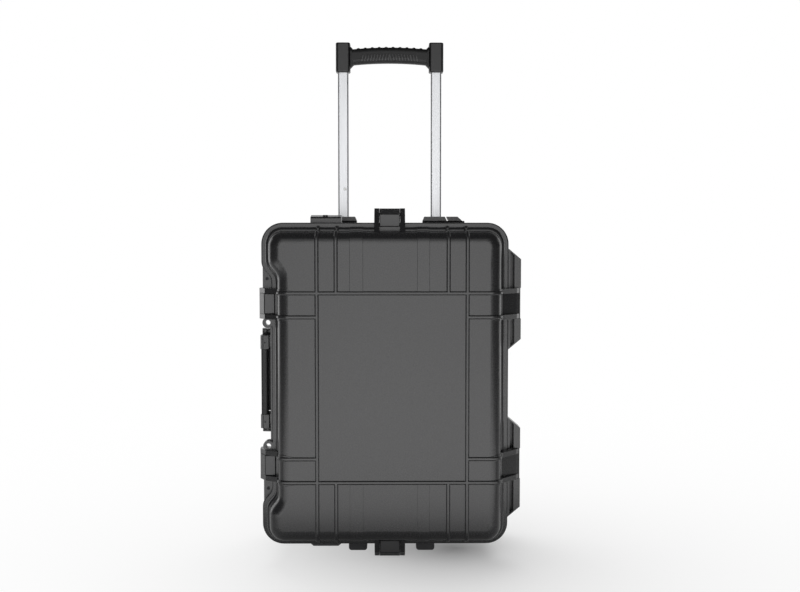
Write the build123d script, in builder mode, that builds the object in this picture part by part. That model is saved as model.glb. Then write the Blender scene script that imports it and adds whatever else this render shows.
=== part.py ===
"""Rolling hard case for a laptop: a ribbed polypropylene base and lid on two hinge blocks, four
lever latches, a folding side handle, a pressure valve, two inset wheels and a pull-up trolley.

Frame, in millimetres: X runs across the case with zero on the trolley's centre line, +Y runs from
the lid towards the back, and Z is up with zero on the floor.
"""
import os

from build123d import *

os.makedirs("parts", exist_ok=True)

# ---------------------------------------------------------------- overall sizes
HALF_WIDTH = 228.0       # from the trolley's centre line to the side handle and to the hinge blocks
HANDLE_PROUD = 6.5       # side handle outside the flange's left edge
BLOCK_PROUD = 22.5       # hinge blocks outside the flange's right edge
CASE_LEFT = HANDLE_PROUD - HALF_WIDTH
CASE_RIGHT = HALF_WIDTH - BLOCK_PROUD
CASE_BOTTOM = 30.0       # lowest edge of the flange
CASE_TOP = 590.0         # highest edge of the flange
PART_Y = -68.0           # parting plane between base and lid
LID_DEPTH = 62.0         # from the parting plane to the lid's flat face
RIB_HEIGHT = 2.5         # ribs stand proud of the lid and of the back cover
BACK_Y = 130.0           # back face of the base
CASE_MID_X = (CASE_LEFT + CASE_RIGHT) / 2
CASE_MID_Z = (CASE_BOTTOM + CASE_TOP) / 2

# ---------------------------------------------------------------- clearances
PART_GAP = 0.3           # between base and lid, and between parts that swing past each other
SOFT_GAP = 0.4           # round the foam
RUN_FIT = 0.05           # radial, shaft in a moving bore
SLIDE_FIT = 0.15         # each side, trolley tube in its guides

# ---------------------------------------------------------------- shells
WALL = 4.0
CORNER_R = 37.0
WAIST_DEPTH = 17.0       # how far the latch side steps in
WAIST_EASE = 0.11        # the step grows shallower by this for each millimetre of inset
RIM_STRIP = 3.0          # base's rim outside the lid along the stepped-in side
WAIST_HALF = 176.0       # half the height of the stepped-in stretch
WAIST_RUN = 38.0         # height over which the side steps in
WAIST_LEAN = 0.35        # shift of the step along Z for each millimetre of inset
FLANGE_T = 8.0
SHOULDER_INSET = 8.0
SHOULDER_T = 14.0
CROWN_INSET = 13.0
CROWN_CORNER_R = 25.0
CROWN_EDGE_R = 20.0
CROWN_LEAN = 4.5         # how far the crown's walls lean in over its depth
SEAL_INSET = 4.5
SEAL_WIDTH = 5.0
SEAL_DEPTH = 4.0
BASE_LEAN = 5.0          # how far the base's walls lean in over its depth
BASE_EDGE_R = 14.0
WAIST_X = CASE_LEFT + WAIST_DEPTH

# ---------------------------------------------------------------- lid ribs
RIB_W = 6.5
RIB_EDGE = 1.6           # chamfer along a rib's edges
RIB_SHIFT = 2.2          # ribs beside a latch or hinge, outside its inner width
# where the ribs start to widen into the ears and the hinge arms
FLARE_X = (CASE_LEFT + 69.5, CASE_RIGHT - 45.5)
FLARE_RUN = 26.0
STRIP_HEIGHT = 0.8
MAIN_RIBS_X = (CASE_LEFT + 98.7, CASE_RIGHT - 74.6)
SHORT_RIBS_X = (CASE_LEFT + 130.8, CASE_RIGHT - 106.6)
STRIPS_X = ((-67.4, -45.1), (46.6, 67.1))

# ---------------------------------------------------------------- latches
LATCH_OFFSET = 140.5     # side latches and hinges, above and below mid height
LATCH_SPAN = 36.0        # between a latch's two ears
EAR_T = 8.5
LATCH_TOP = 24.7         # top of a latch above its own datum
LATCH_BACK = 24.5        # tail of the latch behind the parting plane
LATCH_NOSE = -14.0       # front of the latch, in front of the parting plane
PIN_D = 15.0             # latch pin behind the parting plane
PIN_V = 15.2             # latch pin above the latch's datum
LATCH_PIN_R = 2.0
LATCH_SIDE_GAP = 0.4
SIDE_LATCH_SINK = 3.0    # side latches sit this much lower on the stepped-in side
NOSE_EDGE = 1.2          # bevel round a nose plate's panel
NOSE_DROP = 7.0          # nose plate below the datum, on the end latches
SIDE_NOSE_DROP = 3.5
NOSE_POCKET = 13.0       # floor of the hollows under the nose plates, in from the flange edge
RIVET_OFFSET = 183.3     # rivets in the base's corner plates
RIVET_R = 2.9
PADLOCK_OFFSET = 107.5
PADLOCK_LOBE_R = 9.3
PADLOCK_HOLE_R = 4.5
PADLOCK_X = WAIST_X - 6.3

# ---------------------------------------------------------------- hinges
BARREL_R = 5.7
HINGE_X = HALF_WIDTH - BARREL_R
HINGE_Y = PART_Y + 6.0
HINGE_PIN_R = 2.5
PIN_HOLD = 24.0          # pin length in the block on each side of the knuckle
BLOCK_TOP = 236.0        # hinge block, furthest and nearest Z from mid height
BLOCK_LOW = 59.0
BLOCK_SLANT = 19.0
BLOCK_DEPTH = 34.0
BLOCK_WEB = 10.0
SLOT_END = 2.5           # wall at each end of a block's slot
FIN_T = 4.5

# ---------------------------------------------------------------- trolley
TUBE_X = 87.3
TUBE_Y = 117.0
TUBE_W = 20.0
TUBE_D = 13.0
TUBE_WALL = 1.5
TUBE_R = 3.0
BUSH_H = 12.0            # bush below the tube's end
SLEEVE_WALL = 2.5
SLEEVE_W = TUBE_W + 2 * (SLIDE_FIT + SLEEVE_WALL)
SLEEVE_D = TUBE_D + 2 * (SLIDE_FIT + SLEEVE_WALL)
COLLAR_TOP = 604.0
COLLAR_SEAT = 596.0
COLLAR_FOOT = CASE_TOP - 24.0   # lowest edge behind the roof
CAP_BOTTOM = 874.0
CAP_H = 55.0
CAP_W = 27.0
CAP_D = 27.0
GRIP_Z = 902.3
GRIP_RISE = 4.0
GRIP_H = 29.0
GRIP_D = 25.0
FLARE_LEN = 7.0          # where the grip widens to meet its end caps
BUMPS = 10
BUMP_PITCH = 13.0
BUMP_R = 4.5
BUMP_PROUD = 1.2
CORE_H = 17.0
CORE_D = 13.0
CHANNEL_HALF = TUBE_X + 26.7
CHANNEL_Y = 100.0
CHANNEL_LOW = CASE_BOTTOM + SHOULDER_INSET + BASE_LEAN + BASE_EDGE_R + 5.0
CHANNEL_TOP = CASE_TOP - SHOULDER_INSET - BASE_LEAN - BASE_EDGE_R - 9.0
BRACKET_H = 10.0
CHANNEL_BOTTOM = CHANNEL_LOW + BRACKET_H    # top of the bracket
COVER_T = 3.0
COVER_LEDGE = 8.0        # cover beyond the channel on each side
COVER_BOTTOM = CHANNEL_LOW - 4.0
COVER_TOP = CHANNEL_TOP + COVER_LEDGE
COVER_SCREWS = [(side * (CHANNEL_HALF + COVER_LEDGE / 2), z)
                for side in (-1, 1) for z in (84.0, 310.0, 536.0)]
SCREW_R = 1.5
SCREW_HEAD_R = 3.0
SCREW_HEAD_H = 1.6
SCREW_GRIP = 6.0         # screw length in the shell
SNAP_Z = 656.0
SNAP_R = 2.5
SNAP_PROUD = 0.8
SNAP_X = -TUBE_X + 3.0
KEYWAY_W = 8.0
KEYWAY_D = 1.5

# ---------------------------------------------------------------- wheels
WHEEL_R = 38.0
WHEEL_W = 24.0
WHEEL_Y = 92.0
WHEEL_OFFSET = CASE_RIGHT - CASE_MID_X - 41.5    # each side of the case's middle
HUB_R = 28.0
BEARING_R = 11.0
BEARING_W = 7.0
AXLE_R = 4.0
WHEEL_GAP = 3.0
YOKE_T = 4.0

# ---------------------------------------------------------------- side handle
HANDLE_HALF = 92.5
BRACKET_LEN = 10.0
ARM_LEN = 24.0
ARM_HALF = 5.5           # arm beyond the pin, towards the case
HANDLE_PIN_R = 2.5
HANDLE_PIN_Y = -2.0
HANDLE_PIN_X = WAIST_X - 12.5
HANDLE_REACH = 30.0
GRIP_BAR_T = 12.0
GRIP_BAR_W = 17.0
FINGER_PITCH = 18.7
PLATE_X = CASE_LEFT      # outer edge of the plate behind the grip
PLATE_T = 3.5
PLATE_HALF = HANDLE_HALF - BRACKET_LEN - ARM_LEN - 1.0

# ---------------------------------------------------------------- valve, feet, foam
VALVE_X = (CASE_LEFT + 83.0, CASE_LEFT + 136.5)
VALVE_Y = (-48.0, -6.0)
VALVE_TOP = 604.0
KNOB_X = CASE_LEFT + 108.5
KNOB_Y = -36.0
KNOB_R = 4.5
FOOT_X = ((-74.0, -41.0), (47.5, 80.5))
FOOT_Y = (-10.0, 36.0)
PAD_BOTTOM = 18.5
FOAM_FACE = 3.0          # foam face behind the parting plane
POCKET_W = 292.0
POCKET_H = 408.0
POCKET_D = 50.0
TRAY_W = 250.0
TRAY_H = 150.0
TRAY_D = 60.0
LID_FOAM_T = 32.0

LID_BACK = Plane.XZ.offset(-PART_Y + PART_GAP)    # normal runs to -Y, local axes are X and Z
BASE_FRONT = Plane.XZ.offset(-PART_Y)


def save(part, name):
    """Label a finished piece and write its file."""
    part.label = name
    export_step(part, f"parts/{name}.step")


def outline(inset, corner_r, waist=True):
    """The case's outline, moved in by inset, as a flat face to add to a sketch."""
    left, right = CASE_LEFT + inset, CASE_RIGHT - inset
    low, high = CASE_BOTTOM + inset, CASE_TOP - inset
    r = corner_r
    step = left + WAIST_DEPTH - WAIST_EASE * inset
    with BuildSketch() as face:
        with BuildLine():
            if waist:
                lean = WAIST_LEAN * inset
                for side in (-1, 1):
                    outer = CASE_MID_Z + side * (WAIST_HALF + WAIST_RUN + lean)
                    inner = CASE_MID_Z + side * (WAIST_HALF + lean)
                    middle = (outer + inner) / 2
                    Bezier((left, outer), (left, middle), (step, middle), (step, inner))
                    Line((left, outer), (left, CASE_MID_Z + side * ((high - low) / 2 - r)))
                reach = WAIST_HALF + lean
                Line((step, CASE_MID_Z - reach), (step, CASE_MID_Z + reach))
            else:
                Line((left, low + r), (left, high - r))
            TangentArc((left, high - r), (left + r, high), tangent=(0, 1))
            Line((left + r, high), (right - r, high))
            TangentArc((right - r, high), (right, high - r), tangent=(1, 0))
            Line((right, high - r), (right, low + r))
            TangentArc((right, low + r), (right - r, low), tangent=(0, -1))
            Line((right - r, low), (left + r, low))
            TangentArc((left + r, low), (left, low + r), tangent=(-1, 0))
        make_face()
    return face.sketch


def ring(outer_inset, inner_inset):
    """The flat band between two insets of the case's outline."""
    with BuildSketch() as band:
        add(outline(outer_inset, CORNER_R - outer_inset))
        add(outline(inner_inset, CORNER_R - inner_inset), mode=Mode.SUBTRACT)
    return band.sketch


def front_edges(part):
    """Edges of the face that lies furthest to -Y."""
    return part.faces().sort_by(Axis.Y)[0].edges()


def box_between(low, high, mode=Mode.ADD):
    """A box from its low and high corners, in the part that is open."""
    size = [b - a for a, b in zip(low, high)]
    with Locations([((low[0] + high[0]) / 2, (low[1] + high[1]) / 2, (low[2] + high[2]) / 2)]):
        Box(*size, mode=mode)


def lid_form(grow, flange=True):
    """The lid's outer form as a solid, grown by grow on its front and sides."""
    with BuildPart() as form:
        if flange:
            with BuildSketch(LID_BACK):
                add(outline(0, CORNER_R))
            extrude(amount=FLANGE_T)
            fillet(front_edges(form), radius=2.0)
        with BuildSketch(LID_BACK.offset(FLANGE_T)):
            add(outline(SHOULDER_INSET - grow, CORNER_R - SHOULDER_INSET + grow))
        extrude(amount=SHOULDER_T + grow)
        fillet(front_edges(form), radius=6.0)
        with BuildSketch(LID_BACK.offset(FLANGE_T)):
            add(outline(CROWN_INSET - grow, CROWN_CORNER_R + grow))
        with BuildSketch(LID_BACK.offset(LID_DEPTH - PART_GAP + grow)):
            add(outline(CROWN_INSET + CROWN_LEAN - grow, CROWN_CORNER_R + grow))
        loft(ruled=True)
        fillet(front_edges(form), radius=CROWN_EDGE_R)
    return form.part


# ---------------------------------------------------------------- latch stations
# A station is a plane whose local x runs along the latch's width, local y runs outwards from the
# flange edge, and whose origin lies on the parting plane at the flange edge.
def station(origin, outward):
    """Latch plane: normal along the width, local x towards the back, local y outwards."""
    return Plane(origin=origin, x_dir=(0, 1, 0), z_dir=Vector(0, 1, 0).cross(Vector(*outward)))


STATIONS = {
    "top": (station((0, PART_Y, CASE_TOP), (0, 0, 1)), 0.0, NOSE_DROP),
    "bottom": (station((0, PART_Y, CASE_BOTTOM), (0, 0, -1)), 0.0, NOSE_DROP),
    "upper": (station((WAIST_X, PART_Y, CASE_MID_Z + LATCH_OFFSET), (-1, 0, 0)),
              SIDE_LATCH_SINK, SIDE_NOSE_DROP),
    "lower": (station((WAIST_X, PART_Y, CASE_MID_Z - LATCH_OFFSET), (-1, 0, 0)),
              SIDE_LATCH_SINK, SIDE_NOSE_DROP),
}


def ear_profile(sink):
    """Side view of a latch ear, from the lid's wall to over the base's flange."""
    top = LATCH_TOP - sink + 0.3
    with BuildSketch() as face:
        with BuildLine():
            Polyline((-36, -26), (-13, top - 11), (6, top), (LATCH_BACK - 4, top),
                     (LATCH_BACK, top - 4), (LATCH_BACK, 3.5), (LATCH_BACK - 3, PART_GAP + 0.1),
                     (-PART_GAP, PART_GAP + 0.1), (-PART_GAP, -26), close=True)
        make_face()
    return face.sketch


def lever_profile(sink, nose_drop):
    """Side view of a latch lever: nose plate, bevelled top and a round tail on the pin."""
    tail_r = LATCH_TOP - PIN_V
    top, pin = LATCH_TOP - sink, PIN_V - sink
    under = max(PART_GAP + 0.3, 7.0 - sink)
    nose = -nose_drop - sink
    with BuildSketch() as face:
        with BuildLine():
            Polyline((PIN_D, top), (4, top), (LATCH_NOSE, top - 10), (LATCH_NOSE + 0.8, nose),
                     (-FLANGE_T - 1.2, nose), (-FLANGE_T - 1.2, under), (PIN_D - 7, under),
                     (PIN_D, pin - tail_r))
            ThreePointArc((PIN_D, pin - tail_r), (PIN_D + tail_r, pin), (PIN_D, top))
        make_face()
    return face.sketch


# ================================================================ lid
RIB_FRONT = PART_Y - LID_DEPTH - RIB_HEIGHT - 1
RIB_BACK = PART_Y - PART_GAP - FLANGE_T + 0.5
CHEEK_Z = LATCH_SPAN / 2 + EAR_T
PAIR_Z = {side: CASE_MID_Z + side * (LATCH_OFFSET - LATCH_SPAN / 2 - RIB_SHIFT) for side in (-1, 1)}
FULL_Z = {side: CASE_MID_Z + side * (LATCH_OFFSET + LATCH_SPAN / 2 + RIB_SHIFT) for side in (-1, 1)}


def raised(height, low, high, edge=0.0, sides=Axis.X):
    """A band of the lid's form raised by height between two corners, its long edges chamfered."""
    with BuildPart() as band:
        box_between(low, high)
        add(lid_form(height, flange=False), mode=Mode.INTERSECT)
        if edge:
            long_edges = [e for f in band.faces().filter_by(sides) for e in f.edges()
                          if e.center().Y < RIB_BACK - 0.6]
            chamfer(long_edges, length=edge)
    return band.part


def rib_along_z(x, low_z, high_z):
    """An upright rib on the lid."""
    return raised(RIB_HEIGHT, (x - RIB_W / 2, RIB_FRONT, low_z), (x + RIB_W / 2, RIB_BACK, high_z),
                  RIB_EDGE, Axis.X)


def rib_along_x(z, low_x, high_x):
    """A level rib on the lid."""
    return raised(RIB_HEIGHT, (low_x, RIB_FRONT, z - RIB_W / 2), (high_x, RIB_BACK, z + RIB_W / 2),
                  RIB_EDGE, Axis.Z)


with BuildPart() as lid_ribs:
    for x in MAIN_RIBS_X:
        add(rib_along_z(x, CASE_BOTTOM, CASE_TOP))
    for z in FULL_Z.values():
        add(rib_along_x(z, CASE_LEFT, CASE_RIGHT))
    for z in PAIR_Z.values():
        add(rib_along_x(z, CASE_LEFT, MAIN_RIBS_X[0]))
        add(rib_along_x(z, MAIN_RIBS_X[1], CASE_RIGHT))
    for x in SHORT_RIBS_X:
        add(rib_along_z(x, CASE_BOTTOM, FULL_Z[-1]))
        add(rib_along_z(x, FULL_Z[1], CASE_TOP))
    # ribs widen into the ears and the hinge arms
    with BuildPart(mode=Mode.PRIVATE) as flares:
        with BuildSketch(Plane.XZ.offset(-RIB_BACK)):
            for side in (-1, 1):
                for start, wall in ((FLARE_X[0], CASE_LEFT), (FLARE_X[1], CASE_RIGHT)):
                    run = FLARE_RUN if start > 0 else -FLARE_RUN
                    for away in (-1, 1):
                        middle = CASE_MID_Z + side * LATCH_OFFSET
                        rib, ear = middle + away * LATCH_SPAN / 2, middle + away * CHEEK_Z
                        with BuildLine():
                            Polyline((start, rib), (start, rib + away * (RIB_W / 2 + RIB_SHIFT - RIB_EDGE)),
                                     (start + run, ear), (wall, ear), (wall, rib), close=True)
                        make_face()
        extrude(amount=RIB_BACK - RIB_FRONT)
        add(lid_form(RIB_HEIGHT - RIB_EDGE, flange=False), mode=Mode.INTERSECT)
    add(flares.part)

with BuildPart() as lid_strips:
    for low_x, high_x in STRIPS_X:
        add(raised(STRIP_HEIGHT, (low_x, RIB_FRONT, CASE_BOTTOM), (high_x, RIB_BACK, FULL_Z[-1])))
        add(raised(STRIP_HEIGHT, (low_x, RIB_FRONT, FULL_Z[1]), (high_x, RIB_BACK, CASE_TOP)))

CAVITY_A = 15.0          # inset of the lid's mouth
CAVITY_B = CROWN_INSET + WALL
HOLLOW_EDGE_R = CROWN_EDGE_R - WALL - 2

with BuildPart() as lid_hollow:
    with BuildSketch(LID_BACK):
        add(outline(CAVITY_B, CROWN_CORNER_R - WALL))
    with BuildSketch(LID_BACK.offset(LID_DEPTH - PART_GAP - WALL)):
        add(outline(CAVITY_B + CROWN_LEAN, CROWN_CORNER_R - WALL))
    loft(ruled=True)
    fillet(front_edges(lid_hollow), radius=HOLLOW_EDGE_R)

with BuildPart() as lid_shell:
    add(lid_form(0))
    add(lid_ribs.part)
    add(lid_strips.part)
    # pockets in the shoulder for the nose plates
    for plane, sink, nose_drop in STATIONS.values():
        with BuildSketch(plane.offset(-LATCH_SPAN / 2)):
            with BuildLine():
                floor, back = -NOSE_POCKET, -FLANGE_T - SHOULDER_T - 2
                Polyline((-FLANGE_T - PART_GAP, floor), (back, floor), (back, 20),
                         (-FLANGE_T - PART_GAP, 20), close=True)
            make_face()
        extrude(amount=LATCH_SPAN, mode=Mode.SUBTRACT)
    # latch ears
    for plane, sink, nose_drop in STATIONS.values():
        for start in (-LATCH_SPAN / 2 - EAR_T, LATCH_SPAN / 2):
            with BuildSketch(plane.offset(start)):
                add(ear_profile(sink))
            extrude(amount=EAR_T)
    # hinge arms with their knuckles
    for side in (-1, 1):
        middle = CASE_MID_Z + side * LATCH_OFFSET
        for start, length, reach in ((-CHEEK_Z, EAR_T, 1.0), (LATCH_SPAN / 2, EAR_T, 1.0),
                                     (-LATCH_SPAN / 2, LATCH_SPAN, 0.0)):
            with BuildSketch(Plane.XY.offset(middle + start)):
                with Locations((HINGE_X, HINGE_Y)):
                    Circle(BARREL_R - PART_GAP)
                with BuildLine():
                    Polyline((CASE_RIGHT - 20, PART_Y - PART_GAP), (CASE_RIGHT + 1.5, PART_Y - PART_GAP),
                             (HINGE_X - 3.6, HINGE_Y + 3.6), (HINGE_X + 3.6, HINGE_Y - 3.6),
                             (HINGE_X - 2, HINGE_Y - 9 - 5 * reach),
                             (CASE_RIGHT - 12, PART_Y - 24 - 16 * reach),
                             (CASE_RIGHT - 25, PART_Y - 24 - 16 * reach), close=True)
                make_face()
            extrude(amount=length)
    # padlock lobes
    for side in (-1, 1):
        with BuildSketch(LID_BACK):
            with Locations((PADLOCK_X, CASE_MID_Z + side * PADLOCK_OFFSET)):
                Circle(PADLOCK_LOBE_R)
        extrude(amount=FLANGE_T)
    # inside
    with BuildSketch(LID_BACK):
        add(outline(CAVITY_A, CORNER_R - CAVITY_A))
    extrude(amount=FLANGE_T + SHOULDER_T - WALL - 2, mode=Mode.SUBTRACT)
    add(lid_hollow.part, mode=Mode.SUBTRACT)
    # seal groove in the rim
    with BuildSketch(LID_BACK):
        add(ring(SEAL_INSET, SEAL_INSET + SEAL_WIDTH))
    extrude(amount=SEAL_DEPTH, mode=Mode.SUBTRACT)
    # bores
    for side in (-1, 1):
        with Locations(Location((PADLOCK_X, PART_Y, CASE_MID_Z + side * PADLOCK_OFFSET), (90, 0, 0))):
            Cylinder(PADLOCK_HOLE_R, 60, mode=Mode.SUBTRACT)
        with Locations((HINGE_X, HINGE_Y, CASE_MID_Z + side * LATCH_OFFSET)):
            Cylinder(HINGE_PIN_R + RUN_FIT, 2 * CHEEK_Z + 2, mode=Mode.SUBTRACT)
    for plane, sink, nose_drop in STATIONS.values():
        with BuildSketch(plane.offset(-CHEEK_Z - 1)):
            with Locations((PIN_D, PIN_V - sink)):
                Circle(LATCH_PIN_R)
        extrude(amount=2 * CHEEK_Z + 2, mode=Mode.SUBTRACT)
save(lid_shell.part, "lid_shell")

with BuildPart() as gasket:
    with BuildSketch(LID_BACK):
        add(ring(SEAL_INSET + RUN_FIT, SEAL_INSET + SEAL_WIDTH - RUN_FIT))
    extrude(amount=SEAL_DEPTH)
save(gasket.part, "gasket")

# ---------------------------------------------------------------- foam in the lid
LID_FOAM_BACK = PART_Y - LID_DEPTH + WALL + SOFT_GAP
with BuildPart() as lid_foam:
    with BuildSketch(Plane.XZ.offset(-LID_FOAM_BACK - LID_FOAM_T)):
        add(outline(CAVITY_B + CROWN_LEAN + SOFT_GAP, CROWN_CORNER_R - WALL))
    extrude(amount=LID_FOAM_T)
    chamfer(lid_foam.faces().sort_by(Axis.Y)[-1].edges(), length=5.0)
    fillet(lid_foam.faces().sort_by(Axis.Y)[0].edges(), radius=HOLLOW_EDGE_R)
save(lid_foam.part, "lid_foam")

# ---------------------------------------------------------------- latches
for name, (plane, sink, nose_drop) in STATIONS.items():
    half = LATCH_SPAN / 2 - LATCH_SIDE_GAP
    with BuildPart() as lever:
        with BuildSketch(plane.offset(-half)):
            add(lever_profile(sink, nose_drop))
        extrude(amount=2 * half)
        with BuildSketch(plane.offset(-half - 1)):
            with Locations((PIN_D, PIN_V - sink)):
                Circle(LATCH_PIN_R + RUN_FIT)
        extrude(amount=2 * half + 2, mode=Mode.SUBTRACT)
        panel = [f for f in lever.faces() if f.normal_at().Y < -0.99]
        chamfer(ShapeList(panel).sort_by(SortBy.AREA)[-1].edges(), length=NOSE_EDGE)
    save(lever.part, f"latch_{name}")
    with BuildPart() as pin:
        with BuildSketch(plane.offset(-CHEEK_Z + 0.5)):
            with Locations((PIN_D, PIN_V - sink)):
                Circle(LATCH_PIN_R)
        extrude(amount=2 * CHEEK_Z - 1)
    save(pin.part, f"latch_pin_{name}")

# ================================================================ base
BASE_DEPTH = BACK_Y - PART_Y
TUB_DEPTH = CHANNEL_Y - WALL - PART_Y
HUMP_HALF = WHEEL_W / 2 + WHEEL_GAP + 2 * YOKE_T + 1
YOKE_TOP = 2 * WHEEL_R + WHEEL_GAP + YOKE_T
YOKE_HALF = WHEEL_W / 2 + 1.5 + YOKE_T
WHEELS_X = {"left": CASE_MID_X - WHEEL_OFFSET, "right": CASE_MID_X + WHEEL_OFFSET}


def lean_at(depth):
    """How far the base's wall has leaned in at a depth behind the parting plane."""
    return BASE_LEAN * depth / BASE_DEPTH


def base_section(depth, inset):
    """The case's outline at a depth behind the parting plane, with the wall's lean."""
    return outline(inset + lean_at(depth), CORNER_R - inset)


def gusset(side):
    """Flat corner plate that fills the step in the flange, above or below the side latches."""
    reach = CASE_MID_Z + side * (LATCH_OFFSET + CHEEK_Z + PART_GAP)
    far = CASE_MID_Z + side * (WAIST_HALF + WAIST_RUN)
    with BuildSketch() as plate:
        with BuildLine():
            Polyline((CASE_LEFT + 1.5, reach), (CASE_LEFT + 1.5, far), (CASE_LEFT + 4, far + side * 6),
                     (WAIST_X + 6, far), (WAIST_X + 6, reach), close=True)
        make_face()
    return plate.sketch


# the tub's outer form, also cut from what is moulded or screwed against it
with BuildPart() as tub_form:
    with BuildSketch(BASE_FRONT):
        add(base_section(0, SHOULDER_INSET))
    with BuildSketch(BASE_FRONT.offset(-BASE_DEPTH)):
        add(base_section(BASE_DEPTH, SHOULDER_INSET))
    loft(ruled=True)
    fillet(tub_form.faces().sort_by(Axis.Y)[-1].edges(), radius=BASE_EDGE_R)

# ribs round the tub, in line with the lid's
with BuildPart() as base_ribs:
    with BuildPart(mode=Mode.PRIVATE) as grown_tub:
        with BuildSketch(BASE_FRONT):
            add(base_section(0, SHOULDER_INSET - RIB_HEIGHT))
        with BuildSketch(BASE_FRONT.offset(-BASE_DEPTH)):
            add(base_section(BASE_DEPTH, SHOULDER_INSET - RIB_HEIGHT))
        loft(ruled=True)
        fillet(grown_tub.faces().sort_by(Axis.Y)[-1].edges(), radius=BASE_EDGE_R + RIB_HEIGHT)
    front, back = PART_Y + FLANGE_T - 1, BACK_Y - BASE_EDGE_R
    for x in MAIN_RIBS_X + SHORT_RIBS_X:
        for low_z, high_z in ((CASE_BOTTOM, CASE_BOTTOM + 20), (CASE_TOP - 20, CASE_TOP)):
            box_between((x - RIB_W / 2, front, low_z), (x + RIB_W / 2, back, high_z))
    for z in (*FULL_Z.values(), *PAIR_Z.values()):
        for low_x, high_x in ((CASE_LEFT, WAIST_X + 20), (CASE_RIGHT - 20, CASE_RIGHT)):
            box_between((low_x, front, z - RIB_W / 2), (high_x, back, z + RIB_W / 2))
    add(grown_tub.part, mode=Mode.INTERSECT)

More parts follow.
